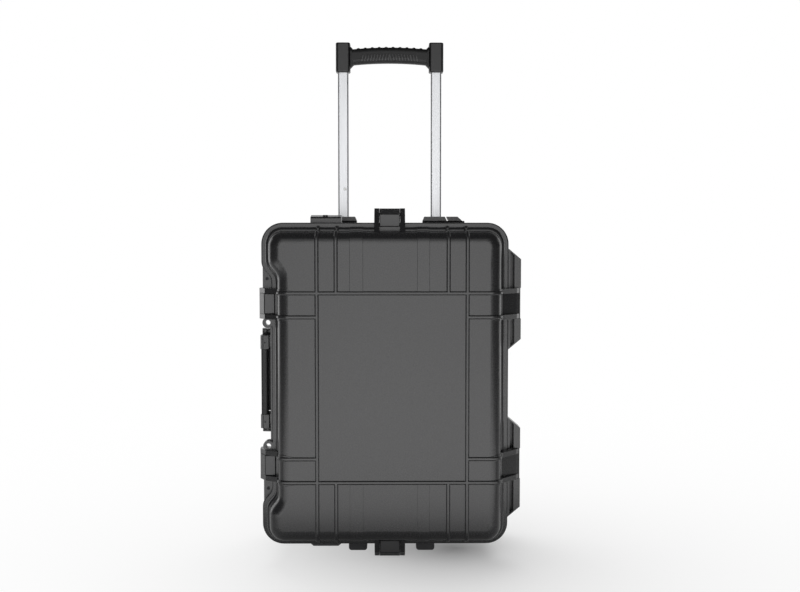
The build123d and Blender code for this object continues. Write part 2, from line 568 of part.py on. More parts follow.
with BuildPart() as base_moulding:
    # flange with its corner plates and padlock lobes
    with BuildSketch(BASE_FRONT):
        add(outline(0, CORNER_R))
        for side in (-1, 1):
            add(gusset(side))
            with Locations((WAIST_X + (WAIST_DEPTH - RIM_STRIP) / 2, CASE_MID_Z)):
                Rectangle(WAIST_DEPTH + RIM_STRIP, 2 * WAIST_HALF + 1)
            with Locations((PADLOCK_X, CASE_MID_Z + side * PADLOCK_OFFSET)):
                Circle(PADLOCK_LOBE_R)
    extrude(amount=-FLANGE_T)
    add(tub_form.part)
    add(base_ribs.part)
    # hinge blocks
    for side in (-1, 1):
        far, near = CASE_MID_Z + side * BLOCK_TOP, CASE_MID_Z + side * BLOCK_LOW
        with BuildSketch(Plane.XZ.offset(-PART_Y - PART_GAP)):
            with BuildLine():
                Polyline((CASE_RIGHT - 14, far), (CASE_RIGHT, far), (HALF_WIDTH, far - side * BLOCK_SLANT),
                         (HALF_WIDTH, near + side * BLOCK_SLANT), (CASE_RIGHT, near),
                         (CASE_RIGHT - 14, near), close=True)
            make_face()
        extrude(amount=-BLOCK_DEPTH)
        slot_low, slot_high = CASE_RIGHT + FIN_T, HALF_WIDTH - 2 * BARREL_R
        fall = BLOCK_SLANT / BLOCK_PROUD
        drop_low, drop_high = (SLOT_END + fall * (x - CASE_RIGHT) for x in (slot_low, slot_high))
        with BuildSketch(Plane.XZ.offset(-PART_Y + 1)):
            with BuildLine():
                Polyline((slot_low, far - side * drop_low), (slot_high, far - side * drop_high),
                         (slot_high, near + side * drop_high), (slot_low, near + side * drop_low),
                         close=True)
            make_face()
        extrude(amount=-1 - BLOCK_DEPTH + BLOCK_WEB, mode=Mode.SUBTRACT)
        knuckle = CASE_MID_Z + side * LATCH_OFFSET
        reach = CHEEK_Z + PART_GAP
        box_between((CASE_RIGHT + 0.3, PART_Y - 1, knuckle - reach),
                    (HALF_WIDTH + 1, HINGE_Y + BARREL_R + 3, knuckle + reach), Mode.SUBTRACT)
        # room for the ears of the side latches
        box_between((-HALF_WIDTH - 10, PART_Y - 1, knuckle - reach),
                    (WAIST_X - RUN_FIT, PART_Y + LATCH_BACK + 2, knuckle + reach), Mode.SUBTRACT)
    # inside of the tub, with humps over the wheels
    with BuildPart(mode=Mode.PRIVATE) as hollow:
        with BuildSketch(BASE_FRONT.offset(1)):
            add(base_section(0, SHOULDER_INSET + WALL + 2))
        with BuildSketch(BASE_FRONT.offset(-TUB_DEPTH)):
            add(base_section(TUB_DEPTH, SHOULDER_INSET + WALL + 2))
        loft(ruled=True)
        fillet(hollow.faces().sort_by(Axis.Y)[-1].edges(), radius=8.0)
        for x in WHEELS_X.values():
            box_between((x - HUMP_HALF - WALL, WHEEL_Y - WHEEL_R - WHEEL_GAP - 2 * YOKE_T, 0),
                        (x + HUMP_HALF + WALL, BACK_Y, YOKE_TOP + WALL + 2), Mode.SUBTRACT)
    add(hollow.part, mode=Mode.SUBTRACT)
    # deeper wells on both sides of the trolley channel
    with BuildPart(mode=Mode.PRIVATE) as wells:
        with BuildSketch(BASE_FRONT.offset(-TUB_DEPTH + 1)):
            add(base_section(BASE_DEPTH, SHOULDER_INSET + WALL + 2))
        extrude(amount=TUB_DEPTH - 1 - BASE_DEPTH + WALL)
        fillet(wells.faces().sort_by(Axis.Y)[-1].edges(), radius=BASE_EDGE_R - WALL)
        core_half = CHANNEL_HALF + COVER_LEDGE + WALL
        box_between((-core_half, CHANNEL_Y - WALL - 2, 0), (core_half, BACK_Y, CASE_TOP), Mode.SUBTRACT)
        for x in WHEELS_X.values():
            box_between((x - HUMP_HALF - WALL - 40, CHANNEL_Y - WALL - 2, 0),
                        (x + HUMP_HALF + WALL + 40, BACK_Y, YOKE_TOP + WALL + 2), Mode.SUBTRACT)
    add(wells.part, mode=Mode.SUBTRACT)
    # trolley channel in the back, with two openings through the roof for the guide sleeves
    box_between((-CHANNEL_HALF, CHANNEL_Y, CHANNEL_LOW), (CHANNEL_HALF, BACK_Y + 1, CHANNEL_TOP),
                Mode.SUBTRACT)
    for side in (-1, 1):
        box_between((side * TUBE_X - SLEEVE_W / 2, TUBE_Y - SLEEVE_D / 2, CHANNEL_TOP - 1),
                    (side * TUBE_X + SLEEVE_W / 2, TUBE_Y + SLEEVE_D / 2, CASE_TOP + 1), Mode.SUBTRACT)
    cover_half = CHANNEL_HALF + COVER_LEDGE + PART_GAP
    box_between((-cover_half, BACK_Y - COVER_T, COVER_BOTTOM - PART_GAP),
                (cover_half, BACK_Y + 1, COVER_TOP + PART_GAP), Mode.SUBTRACT)
    for x, z in COVER_SCREWS:
        with Locations(Location((x, BACK_Y - COVER_T, z), (90, 0, 0))):
            Cylinder(SCREW_R, 2 * SCREW_GRIP, mode=Mode.SUBTRACT)
    # wheel wells, open below and behind
    for x in WHEELS_X.values():
        box_between((x - YOKE_HALF - PART_GAP, WHEEL_Y - WHEEL_R - WHEEL_GAP - YOKE_T - PART_GAP, 0),
                    (x + YOKE_HALF + PART_GAP, BACK_Y + 1, YOKE_TOP + PART_GAP), Mode.SUBTRACT)
    # bores
    for side in (-1, 1):
        with Locations(Location((PADLOCK_X, PART_Y, CASE_MID_Z + side * PADLOCK_OFFSET), (90, 0, 0))):
            Cylinder(PADLOCK_HOLE_R, 40, mode=Mode.SUBTRACT)
        with Locations(Location((CASE_LEFT + 9.2, PART_Y, CASE_MID_Z + side * RIVET_OFFSET), (90, 0, 0))):
            Cylinder(1.5, 2 * (FLANGE_T - 2), mode=Mode.SUBTRACT)
        with Locations((HINGE_X, HINGE_Y, CASE_MID_Z + side * LATCH_OFFSET)):
            Cylinder(HINGE_PIN_R, 2 * (CHEEK_Z + PIN_HOLD), mode=Mode.SUBTRACT)
# the rim round the mouth, which the padlock holes go through, and the tub behind it
RIM_BOX = (-HALF_WIDTH - 1, PART_Y - 1, 0), (CASE_RIGHT, PART_Y + FLANGE_T, CASE_TOP + 1)
for name, mode in (("base_rim", Mode.INTERSECT), ("base_shell", Mode.SUBTRACT)):
    with BuildPart() as half:
        add(base_moulding.part)
        box_between(*RIM_BOX, mode)
    save(half.part, name)

# plate on the tub's wall behind the side handle's grip
with BuildPart() as handle_plate:
    box_between((PLATE_X, HANDLE_PIN_Y + ARM_HALF + 1, CASE_MID_Z - PLATE_HALF),
                (WAIST_X + SHOULDER_INSET + WALL + BASE_LEAN, HANDLE_PIN_Y + ARM_HALF + 1 + PLATE_T,
                 CASE_MID_Z + PLATE_HALF))
    add(tub_form.part, mode=Mode.SUBTRACT)
save(handle_plate.part, "handle_plate")

# rivets in the corner plates
with BuildPart() as corner_rivets:
    for side in (-1, 1):
        with Locations(Location((CASE_LEFT + 9.2, PART_Y, CASE_MID_Z + side * RIVET_OFFSET), (90, 0, 0))):
            Cylinder(RIVET_R, 1.0, align=(Align.CENTER, Align.CENTER, Align.MIN))
            Cylinder(1.5, FLANGE_T - 2, align=(Align.CENTER, Align.CENTER, Align.MAX))
            Cylinder(1.4, 2.4, mode=Mode.SUBTRACT)
save(corner_rivets.part, "corner_rivets")

for side, name in ((1, "upper"), (-1, "lower")):
    with BuildPart() as hinge_pin:
        with Locations((HINGE_X, HINGE_Y, CASE_MID_Z + side * LATCH_OFFSET)):
            Cylinder(HINGE_PIN_R, 2 * (CHEEK_Z + PIN_HOLD))
    save(hinge_pin.part, f"hinge_pin_{name}")

# ---------------------------------------------------------------- foam in the base
FOAM_FRONT = PART_Y + FOAM_FACE
FOAM_DEPTH = TUB_DEPTH - FOAM_FACE - SOFT_GAP
with BuildPart() as base_foam:
    with BuildSketch(Plane.XZ.offset(-FOAM_FRONT)):
        add(outline(SHOULDER_INSET + WALL + 2 + BASE_LEAN + SOFT_GAP, CORNER_R - SHOULDER_INSET - WALL - 2))
    extrude(amount=-FOAM_DEPTH)
    fillet(base_foam.faces().sort_by(Axis.Y)[-1].edges(), radius=9.0)
    for x in WHEELS_X.values():
        box_between((x - HUMP_HALF - WALL - SOFT_GAP,
                     WHEEL_Y - WHEEL_R - WHEEL_GAP - 2 * YOKE_T - SOFT_GAP, 0),
                    (x + HUMP_HALF + WALL + SOFT_GAP, BACK_Y, YOKE_TOP + WALL + 2 + SOFT_GAP), Mode.SUBTRACT)
    with BuildSketch(Plane.XZ.offset(-FOAM_FRONT)):
        with Locations((CASE_MID_X, CASE_MID_Z)):
            RectangleRounded(POCKET_W, POCKET_H, 12)
            for side in (-1, 1):
                with Locations((0, side * POCKET_H / 2)):
                    SlotOverall(70, 44)
    extrude(amount=-POCKET_D, mode=Mode.SUBTRACT)
    with BuildSketch(Plane.XZ.offset(-FOAM_FRONT - POCKET_D)):
        with Locations((CASE_MID_X, CASE_MID_Z - 60)):
            RectangleRounded(TRAY_W, TRAY_H, 10)
    extrude(amount=-TRAY_D, mode=Mode.SUBTRACT)
save(base_foam.part, "base_foam")

# ================================================================ trolley
TRAVEL = CAP_BOTTOM - COLLAR_TOP - 1
TUBE_TOP = CAP_BOTTOM + 26.0
TUBE_BOTTOM = CHANNEL_BOTTOM + 2 + BUSH_H + TRAVEL
SIDES = {"left": -1, "right": 1}


def tube_face(grow):
    """The trolley tube's outer section, grown by grow on every side."""
    with BuildSketch() as face:
        RectangleRounded(TUBE_W + 2 * grow, TUBE_D + 2 * grow, TUBE_R + grow)
    return face.sketch


for name, side in SIDES.items():
    axis = (side * TUBE_X, TUBE_Y)
    with BuildPart() as sleeve:
        with BuildSketch(Plane.XY.offset(CHANNEL_BOTTOM - 2)):
            with Locations(axis):
                RectangleRounded(SLEEVE_W, SLEEVE_D, 2)
                add(tube_face(SLIDE_FIT), mode=Mode.SUBTRACT)
            with Locations((side * TUBE_X, TUBE_Y - TUBE_D / 2)):
                Rectangle(KEYWAY_W + 6, 2 * KEYWAY_D, mode=Mode.SUBTRACT)
        extrude(amount=COLLAR_SEAT - CHANNEL_BOTTOM + 2)
    save(sleeve.part, f"trolley_sleeve_{name}")

    with BuildPart() as collar:
        inner, outer = 62.0, 104.0
        with BuildSketch(Plane.XZ.offset(-TUBE_Y + 11)):
            with BuildLine():
                Polyline((side * inner, COLLAR_SEAT), (side * (inner + 3.5), COLLAR_TOP),
                         (side * outer, COLLAR_TOP), (side * (outer + 4), COLLAR_SEAT), close=True)
            make_face()
            with BuildLine():
                Polyline((side * (outer + 7), COLLAR_SEAT), (side * (outer + 3), COLLAR_TOP),
                         (side * 128, COLLAR_TOP), (side * 137, COLLAR_SEAT), close=True)
            make_face()
        extrude(amount=-24)
        with BuildSketch(Plane.YZ.offset(side * inner)):
            with BuildLine():
                Polyline((TUBE_Y - 13, COLLAR_FOOT), (TUBE_Y - 13, COLLAR_SEAT - 4),
                         (TUBE_Y - 9, COLLAR_SEAT), (BACK_Y, COLLAR_SEAT), (BACK_Y, COLLAR_FOOT),
                         close=True)
            make_face()
        extrude(amount=side * 79)
        add(tub_form.part, mode=Mode.SUBTRACT)
        add(base_ribs.part, mode=Mode.SUBTRACT)
        with BuildSketch(Plane.XY.offset(COLLAR_FOOT - 1)):
            with Locations(axis):
                Rectangle(SLEEVE_W, SLEEVE_D)
        extrude(amount=COLLAR_SEAT - COLLAR_FOOT + 1, mode=Mode.SUBTRACT)
        with BuildSketch(Plane.XY.offset(COLLAR_SEAT - 1)):
            with Locations(axis):
                add(tube_face(SLIDE_FIT))
            with Locations((side * TUBE_X, TUBE_Y - TUBE_D / 2)):
                Rectangle(KEYWAY_W + 6, 2 * KEYWAY_D)
        extrude(amount=COLLAR_TOP - COLLAR_SEAT + 2, mode=Mode.SUBTRACT)
    save(collar.part, f"trolley_collar_{name}")

    with BuildPart() as tube:
        with BuildSketch(Plane.XY.offset(TUBE_BOTTOM)):
            with Locations(axis):
                add(tube_face(0))
                add(tube_face(-TUBE_WALL), mode=Mode.SUBTRACT)
        extrude(amount=TUBE_TOP - TUBE_BOTTOM)
        if side < 0:
            with Locations(Location((SNAP_X, TUBE_Y - TUBE_D / 2, SNAP_Z), (90, 0, 0))):
                Cylinder(SNAP_R + RUN_FIT, 2 * TUBE_WALL + 1, mode=Mode.SUBTRACT)
    save(tube.part, f"trolley_tube_{name}")

    with BuildPart() as bush:
        with BuildSketch(Plane.XY.offset(TUBE_BOTTOM - BUSH_H)):
            with Locations(axis):
                add(tube_face(0))
        extrude(amount=BUSH_H)
        with BuildSketch(Plane.XY.offset(TUBE_BOTTOM)):
            with Locations(axis):
                add(tube_face(-TUBE_WALL))
        extrude(amount=22)
    save(bush.part, f"tube_bush_{name}")

    with BuildPart() as cap:
        with BuildSketch(Plane.XY.offset(CAP_BOTTOM)):
            with Locations(axis):
                RectangleRounded(CAP_W, CAP_D, 5)
        extrude(amount=CAP_H)
        fillet(cap.faces().filter_by(Axis.Z).edges(), radius=2.5)
        with BuildSketch(Plane.XY.offset(CAP_BOTTOM - 1)):
            with Locations(axis):
                add(tube_face(0))
        extrude(amount=TUBE_TOP - CAP_BOTTOM + 1, mode=Mode.SUBTRACT)
    save(cap.part, f"grip_end_cap_{name}")

# grip: a moulded core between the caps inside a rubber sleeve, both bent to one arc
CAP_FACE = TUBE_X - CAP_W / 2


def along_grip(section):
    """Sweep a section along the grip's arc and trim it at the end caps' faces."""
    arc = ThreePointArc((-TUBE_X, TUBE_Y, GRIP_Z - 1.5), (0, TUBE_Y, GRIP_Z + GRIP_RISE),
                        (TUBE_X, TUBE_Y, GRIP_Z - 1.5))
    with BuildPart() as bar:
        with BuildSketch(Plane(origin=arc @ 0, z_dir=arc % 0, x_dir=(0, 1, 0))):
            add(section)
        sweep(path=arc)
        box_between((-CAP_FACE, TUBE_Y - CAP_D, CAP_BOTTOM), (CAP_FACE, TUBE_Y + CAP_D, CAP_BOTTOM + CAP_H),
                    Mode.INTERSECT)
    return bar.part


with BuildSketch() as core_section:
    RectangleRounded(CORE_D, CORE_H, 4)
with BuildSketch() as sleeve_section:
    RectangleRounded(GRIP_D, GRIP_H, 9)
    RectangleRounded(CORE_D, CORE_H, 4, mode=Mode.SUBTRACT)
save(along_grip(core_section.sketch), "grip_core")
with BuildPart() as grip_sleeve:
    add(along_grip(sleeve_section.sketch))
    # ends that flare up to the caps, and bumps for the fingers along the top
    for side in (-1, 1):
        with BuildSketch(Plane.YZ.offset(side * (CAP_FACE - FLARE_LEN))):
            with Locations((TUBE_Y, GRIP_Z)):
                RectangleRounded(GRIP_D - 1, GRIP_H - 2, 9)
        with BuildSketch(Plane.YZ.offset(side * CAP_FACE)):
            with Locations((TUBE_Y, GRIP_Z)):
                RectangleRounded(CAP_D - 1, CAP_H - 14, 9)
        loft(ruled=True)
    for k in range(BUMPS):
        x = (k - (BUMPS - 1) / 2) * BUMP_PITCH
        rise = GRIP_RISE - (GRIP_RISE + 1.5) * (x / TUBE_X) ** 2
        with Locations(Location((x, TUBE_Y, GRIP_Z + rise + GRIP_H / 2 - BUMP_R + BUMP_PROUD), (90, 0, 0))):
            Cylinder(BUMP_R, GRIP_D - 14)
    add(along_grip(core_section.sketch), mode=Mode.SUBTRACT)
save(grip_sleeve.part, "grip_sleeve")

with BuildPart() as snap_button:
    with Locations(Location((SNAP_X, TUBE_Y - TUBE_D / 2 + TUBE_WALL / 2 - SNAP_PROUD / 2, SNAP_Z),
                            (90, 0, 0))):
        Cylinder(SNAP_R, TUBE_WALL + SNAP_PROUD)
    chamfer(snap_button.edges().sort_by(Axis.Y)[0], length=0.5)
    with Locations(Location((SNAP_X, TUBE_Y - TUBE_D / 2 + TUBE_WALL + 0.7, SNAP_Z), (90, 0, 0))):
        Cylinder(SNAP_R + 1.2, 1.0)
    with Locations(Location((SNAP_X, TUBE_Y - TUBE_D / 2 + TUBE_WALL, SNAP_Z), (90, 0, 0))):
        Cylinder(SNAP_R - 0.3, 1.6)
save(snap_button.part, "snap_button")

with BuildPart() as trolley_bracket:
    box_between((-CHANNEL_HALF + 1, CHANNEL_Y, CHANNEL_LOW),
                (CHANNEL_HALF - 1, BACK_Y - COVER_T, CHANNEL_BOTTOM))
    with BuildSketch(Plane.XY.offset(CHANNEL_BOTTOM)):
        with Locations((-TUBE_X, TUBE_Y), (TUBE_X, TUBE_Y)):
            Rectangle(SLEEVE_W, SLEEVE_D)
    extrude(amount=-2, mode=Mode.SUBTRACT)
save(trolley_bracket.part, "trolley_bracket")

with BuildPart() as back_cover:
    with BuildSketch(Plane.XZ.offset(-BACK_Y)):
        with Locations((0, (COVER_TOP + COVER_BOTTOM) / 2)):
            RectangleRounded(2 * (CHANNEL_HALF + COVER_LEDGE), COVER_TOP - COVER_BOTTOM, 6)
    extrude(amount=COVER_T)
    with BuildSketch(Plane.XZ.offset(-BACK_Y)):
        for k in range(-3, 4):
            with Locations((0, CASE_MID_Z + k * 62.0)):
                SlotOverall(2 * CHANNEL_HALF - 60, 10)
    extrude(amount=-RIB_HEIGHT, taper=20)
    with Locations(*[Location((x, BACK_Y, z), (90, 0, 0)) for x, z in COVER_SCREWS]):
        Cylinder(SCREW_R, 4 * COVER_T, mode=Mode.SUBTRACT)
save(back_cover.part, "back_cover")

with BuildPart() as cover_screws:
    for x, z in COVER_SCREWS:
        with Locations(Location((x, BACK_Y, z), (-90, 0, 0))):
            Cylinder(SCREW_HEAD_R, SCREW_HEAD_H, align=(Align.CENTER, Align.CENTER, Align.MIN))
            Cylinder(SCREW_R, COVER_T + SCREW_GRIP, align=(Align.CENTER, Align.CENTER, Align.MAX))
        with Locations((x, BACK_Y + SCREW_HEAD_H, z)):
            Box(4, 1.6, 0.9, mode=Mode.SUBTRACT)
            Box(0.9, 1.6, 4, mode=Mode.SUBTRACT)
save(cover_screws.part, "cover_screws")

# ================================================================ wheels
for name, x in WHEELS_X.items():
    with BuildPart() as yoke:
        low_y = WHEEL_Y - WHEEL_R - WHEEL_GAP - YOKE_T
        box_between((x - YOKE_HALF, low_y, 26), (x + YOKE_HALF, BACK_Y, YOKE_TOP))
        fillet(yoke.edges().filter_by(Axis.X).sort_by(Axis.Y)[:2].sort_by(Axis.Z)[-1], radius=20)
        with BuildSketch(Plane.YZ.offset(x - YOKE_HALF + YOKE_T)):
            with Locations((WHEEL_Y, WHEEL_R)):
                Circle(WHEEL_R + WHEEL_GAP)
                with Locations(((WHEEL_R + WHEEL_GAP) / 2, -WHEEL_R / 2), (0, -WHEEL_R / 2)):
                    Rectangle(2 * WHEEL_R + 2 * WHEEL_GAP, WHEEL_R)
            with Locations((WHEEL_Y + WHEEL_R / 2 + 5, WHEEL_R)):
                Rectangle(WHEEL_R + 10, 2 * WHEEL_R - 24)
        extrude(amount=2 * (YOKE_HALF - YOKE_T), mode=Mode.SUBTRACT)
        with Locations(Location((x, WHEEL_Y, WHEEL_R), (0, 90, 0))):
            Cylinder(AXLE_R, 3 * YOKE_HALF, mode=Mode.SUBTRACT)
    save(yoke.part, f"wheel_yoke_{name}")
    with BuildPart() as axle:
        with Locations(Location((x, WHEEL_Y, WHEEL_R), (0, 90, 0))):
            Cylinder(AXLE_R, 2 * YOKE_HALF)
    save(axle.part, f"axle_{name}")
    with BuildPart() as tyre:
        with BuildSketch(Plane.YZ.offset(x - WHEEL_W / 2)):
            with Locations((WHEEL_Y, WHEEL_R)):
                Circle(WHEEL_R)
                Circle(HUB_R, mode=Mode.SUBTRACT)
        extrude(amount=WHEEL_W)
        chamfer(tyre.edges().filter_by(GeomType.CIRCLE).group_by(SortBy.RADIUS)[-1], length=3)
    save(tyre.part, f"wheel_tyre_{name}")
    with BuildPart() as hub:
        with BuildSketch(Plane.YZ.offset(x - WHEEL_W / 2)):
            with Locations((WHEEL_Y, WHEEL_R)):
                Circle(HUB_R)
                Circle(HUB_R - 4, mode=Mode.SUBTRACT)
                Circle(BEARING_R + 3)
                Circle(BEARING_R, mode=Mode.SUBTRACT)
        extrude(amount=WHEEL_W)
        with BuildSketch(Plane.YZ.offset(x - 4)):
            with Locations((WHEEL_Y, WHEEL_R)):
                Circle(HUB_R - 2)
                Circle(BEARING_R + 1, mode=Mode.SUBTRACT)
                with PolarLocations(18.9, 6):
                    Circle(4.0, mode=Mode.SUBTRACT)
        extrude(amount=8)
        with BuildSketch(Plane.YZ.offset(x - WHEEL_W / 2 + BEARING_W)):
            with Locations((WHEEL_Y, WHEEL_R)):
                Circle(BEARING_R + 0.5)
                Circle(AXLE_R + 3, mode=Mode.SUBTRACT)
        extrude(amount=WHEEL_W - 2 * BEARING_W)
    save(hub.part, f"wheel_hub_{name}")
    with BuildPart() as bearings:
        for start in (x - WHEEL_W / 2, x + WHEEL_W / 2 - BEARING_W):
            with BuildSketch(Plane.YZ.offset(start)):
                with Locations((WHEEL_Y, WHEEL_R)):
                    Circle(BEARING_R)
                    Circle(AXLE_R + RUN_FIT, mode=Mode.SUBTRACT)
            extrude(amount=BEARING_W)
    save(bearings.part, f"wheel_bearings_{name}")

# ================================================================ side handle
WALL_X = WAIST_X + SHOULDER_INSET + lean_at(HANDLE_PIN_Y - PART_Y)
for name, side in (("upper", 1), ("lower", -1)):
    end = CASE_MID_Z + side * HANDLE_HALF
    inner = end - side * BRACKET_LEN
    with BuildPart() as bracket:
        with BuildSketch(Plane.XY.offset(min(end, inner))):
            with BuildLine():
                Polyline((WALL_X + 3.0, HANDLE_PIN_Y - 20), (HANDLE_PIN_X + 3, HANDLE_PIN_Y - 14),
                         (-HALF_WIDTH + 2, HANDLE_PIN_Y - 12), (-HALF_WIDTH + 0.5, HANDLE_PIN_Y - 10),
                         (-HALF_WIDTH + 0.5, HANDLE_PIN_Y + 5), (HANDLE_PIN_X, HANDLE_PIN_Y + 8),
                         (WALL_X + 3.0, HANDLE_PIN_Y + 18), close=True)
            make_face()
            with Locations((HANDLE_PIN_X, HANDLE_PIN_Y)):
                Circle(HANDLE_PIN_R, mode=Mode.SUBTRACT)
        extrude(amount=BRACKET_LEN)
        add(tub_form.part, mode=Mode.SUBTRACT)
        # moulding pockets in the front
        for x, width in ((-HALF_WIDTH + 5.0, 4.5), (HANDLE_PIN_X + 2.0, 5.0)):
            box_between((x - width / 2, HANDLE_PIN_Y - 22, end - side * BRACKET_LEN / 2 - 2.5),
                        (x + width / 2, HANDLE_PIN_Y - 7, end - side * BRACKET_LEN / 2 + 2.5), Mode.SUBTRACT)
    save(bracket.part, f"handle_bracket_{name}")
    with BuildPart() as pin:
        with Locations((HANDLE_PIN_X, HANDLE_PIN_Y, end - side * (BRACKET_LEN + ARM_LEN - 4) / 2)):
            Cylinder(HANDLE_PIN_R, BRACKET_LEN + ARM_LEN - 4)
    save(pin.part, f"handle_pin_{name}")

ARM_OUT = HANDLE_HALF - BRACKET_LEN - PART_GAP
GRIP_BAR_Y = HANDLE_PIN_Y - HANDLE_REACH
GRIP_BAR_X = -HALF_WIDTH + 1.0 + GRIP_BAR_T / 2
ARM_FRONT = GRIP_BAR_Y - GRIP_BAR_W / 2 - 1.5
with BuildPart() as handle_frame:
    for side in (-1, 1):
        low = min(side * ARM_OUT, side * (ARM_OUT - ARM_LEN))
        with BuildSketch(Plane.XY.offset(CASE_MID_Z + low)):
            with BuildLine():
                Polyline((HANDLE_PIN_X + ARM_HALF, HANDLE_PIN_Y), (HANDLE_PIN_X + ARM_HALF, ARM_FRONT + 2),
                         (HANDLE_PIN_X + ARM_HALF - 2, ARM_FRONT), (-HALF_WIDTH + 2, ARM_FRONT),
                         (-HALF_WIDTH, ARM_FRONT + 3), (-HALF_WIDTH, HANDLE_PIN_Y - 10),
                         (HANDLE_PIN_X - ARM_HALF, HANDLE_PIN_Y), close=True)
            make_face()
            with Locations((HANDLE_PIN_X, HANDLE_PIN_Y)):
                Circle(ARM_HALF)
                Circle(HANDLE_PIN_R + RUN_FIT, mode=Mode.SUBTRACT)
        extrude(amount=ARM_LEN)
        # seam of the outer cheek and a slot in the front
        middle = CASE_MID_Z + side * (ARM_OUT - ARM_LEN / 2)
        box_between((-HALF_WIDTH + 4.2, ARM_FRONT - 1, middle - ARM_LEN / 2 - 1),
                    (-HALF_WIDTH + 5.4, ARM_FRONT + 2.5, middle + ARM_LEN / 2 + 1), Mode.SUBTRACT)
        with Locations(Location((-HALF_WIDTH + 8.0, ARM_FRONT, middle), (90, 0, 0))):
            Cylinder(1.8, 6, mode=Mode.SUBTRACT)
    box_between((GRIP_BAR_X - 3, GRIP_BAR_Y - 5, CASE_MID_Z - ARM_OUT + ARM_LEN - 1),
                (GRIP_BAR_X + 3, GRIP_BAR_Y + 5, CASE_MID_Z + ARM_OUT - ARM_LEN + 1))
save(handle_frame.part, "handle_frame")

GRIP_LEN = 2 * (ARM_OUT - ARM_LEN)
with BuildPart() as handle_grip:
    with BuildSketch(Plane.XY.offset(CASE_MID_Z - GRIP_LEN / 2)):
        with Locations((GRIP_BAR_X, GRIP_BAR_Y)):
            RectangleRounded(GRIP_BAR_T, GRIP_BAR_W, 4)
    extrude(amount=GRIP_LEN)
    # finger grooves on the case side
    for k in range(-2, 3):
        with Locations(Location((GRIP_BAR_X + GRIP_BAR_T / 2 + 6.0, GRIP_BAR_Y,
                                 CASE_MID_Z + k * FINGER_PITCH), (90, 0, 0))):
            Cylinder(7.2, 2 * GRIP_BAR_W, mode=Mode.SUBTRACT)
    box_between((GRIP_BAR_X - 3, GRIP_BAR_Y - 5, CASE_MID_Z - GRIP_LEN),
                (GRIP_BAR_X + 3, GRIP_BAR_Y + 5, CASE_MID_Z + GRIP_LEN), Mode.SUBTRACT)
save(handle_grip.part, "handle_grip")

# ================================================================ valve, feet and pad
ROOF = CASE_TOP - SHOULDER_INSET
with BuildPart() as valve_body:
    low_x, high_x = VALVE_X
    with BuildSketch(Plane.YZ.offset(low_x)):
        with BuildLine():
            Polyline((VALVE_Y[0], ROOF - BASE_LEAN), (VALVE_Y[0], VALVE_TOP - 6),
                     (VALVE_Y[0] + 3, VALVE_TOP - 3.5), (VALVE_Y[0] + 24, VALVE_TOP),
                     (VALVE_Y[1], VALVE_TOP), (VALVE_Y[1], ROOF - BASE_LEAN), close=True)
        make_face()
    extrude(amount=high_x - low_x)
    add(tub_form.part, mode=Mode.SUBTRACT)
    add(base_ribs.part, mode=Mode.SUBTRACT)
    with Locations((KNOB_X, KNOB_Y, VALVE_TOP)):
        Cylinder(KNOB_R + 0.3, 14, mode=Mode.SUBTRACT)
save(valve_body.part, "valve_body")

with BuildPart() as valve_knob:
    with Locations((KNOB_X, KNOB_Y, VALVE_TOP - 3.3)):
        Cylinder(KNOB_R, 6.6)
save(valve_knob.part, "valve_knob")

for name, (low_x, high_x) in zip(("left", "right"), FOOT_X):
    with BuildPart() as foot:
        box_between((low_x, FOOT_Y[0], 0), (high_x, FOOT_Y[1], CASE_BOTTOM + SHOULDER_INSET + BASE_LEAN))
        fillet(foot.edges().filter_by(Axis.Y).sort_by(Axis.Z)[:2], radius=5)
        add(tub_form.part, mode=Mode.SUBTRACT)
    save(foot.part, f"end_foot_{name}")

with BuildPart() as end_pad:
    low_x, high_x = VALVE_X[0] - 2.5, VALVE_X[1]
    pad_top = CASE_BOTTOM + SHOULDER_INSET + BASE_LEAN
    with BuildSketch(Plane.XZ.offset(-VALVE_Y[0])):
        with BuildLine():
            Polyline((low_x, pad_top), (low_x, PAD_BOTTOM + 5), (low_x + 6, PAD_BOTTOM),
                     (high_x - 6, PAD_BOTTOM), (high_x, PAD_BOTTOM + 5), (high_x, pad_top), close=True)
        make_face()
    extrude(amount=-(VALVE_Y[1] - VALVE_Y[0]))
    add(tub_form.part, mode=Mode.SUBTRACT)
    add(base_ribs.part, mode=Mode.SUBTRACT)
save(end_pad.part, "end_pad")
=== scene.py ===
import math

import bmesh
import bpy
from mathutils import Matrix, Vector


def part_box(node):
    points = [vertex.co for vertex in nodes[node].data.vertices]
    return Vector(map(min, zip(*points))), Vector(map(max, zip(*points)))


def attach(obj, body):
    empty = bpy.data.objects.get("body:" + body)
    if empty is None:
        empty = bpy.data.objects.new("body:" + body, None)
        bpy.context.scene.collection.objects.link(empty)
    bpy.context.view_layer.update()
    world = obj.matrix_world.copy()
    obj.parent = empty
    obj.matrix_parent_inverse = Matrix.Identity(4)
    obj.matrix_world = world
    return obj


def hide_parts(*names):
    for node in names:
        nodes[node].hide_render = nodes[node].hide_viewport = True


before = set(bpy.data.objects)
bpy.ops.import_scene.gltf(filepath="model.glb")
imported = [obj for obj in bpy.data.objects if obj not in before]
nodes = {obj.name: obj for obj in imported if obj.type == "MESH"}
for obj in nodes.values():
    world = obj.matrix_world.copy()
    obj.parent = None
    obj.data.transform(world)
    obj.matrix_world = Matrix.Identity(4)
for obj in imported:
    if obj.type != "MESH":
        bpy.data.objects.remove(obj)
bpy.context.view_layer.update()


# ==== Studio
# A seamless pale paper floor in a white room, dim on the camera's side, so that one broad panel
# round the camera draws the flat faces and the edges pick up the white room behind.
def srgb(code):
    """Linear colour of a six-digit sRGB hex code."""
    parts = [int(code[i:i + 2], 16) / 255 for i in (0, 2, 4)]
    return [c / 12.92 if c <= 0.04045 else ((c + 0.055) / 1.055) ** 2.4 for c in parts] + [1.0]


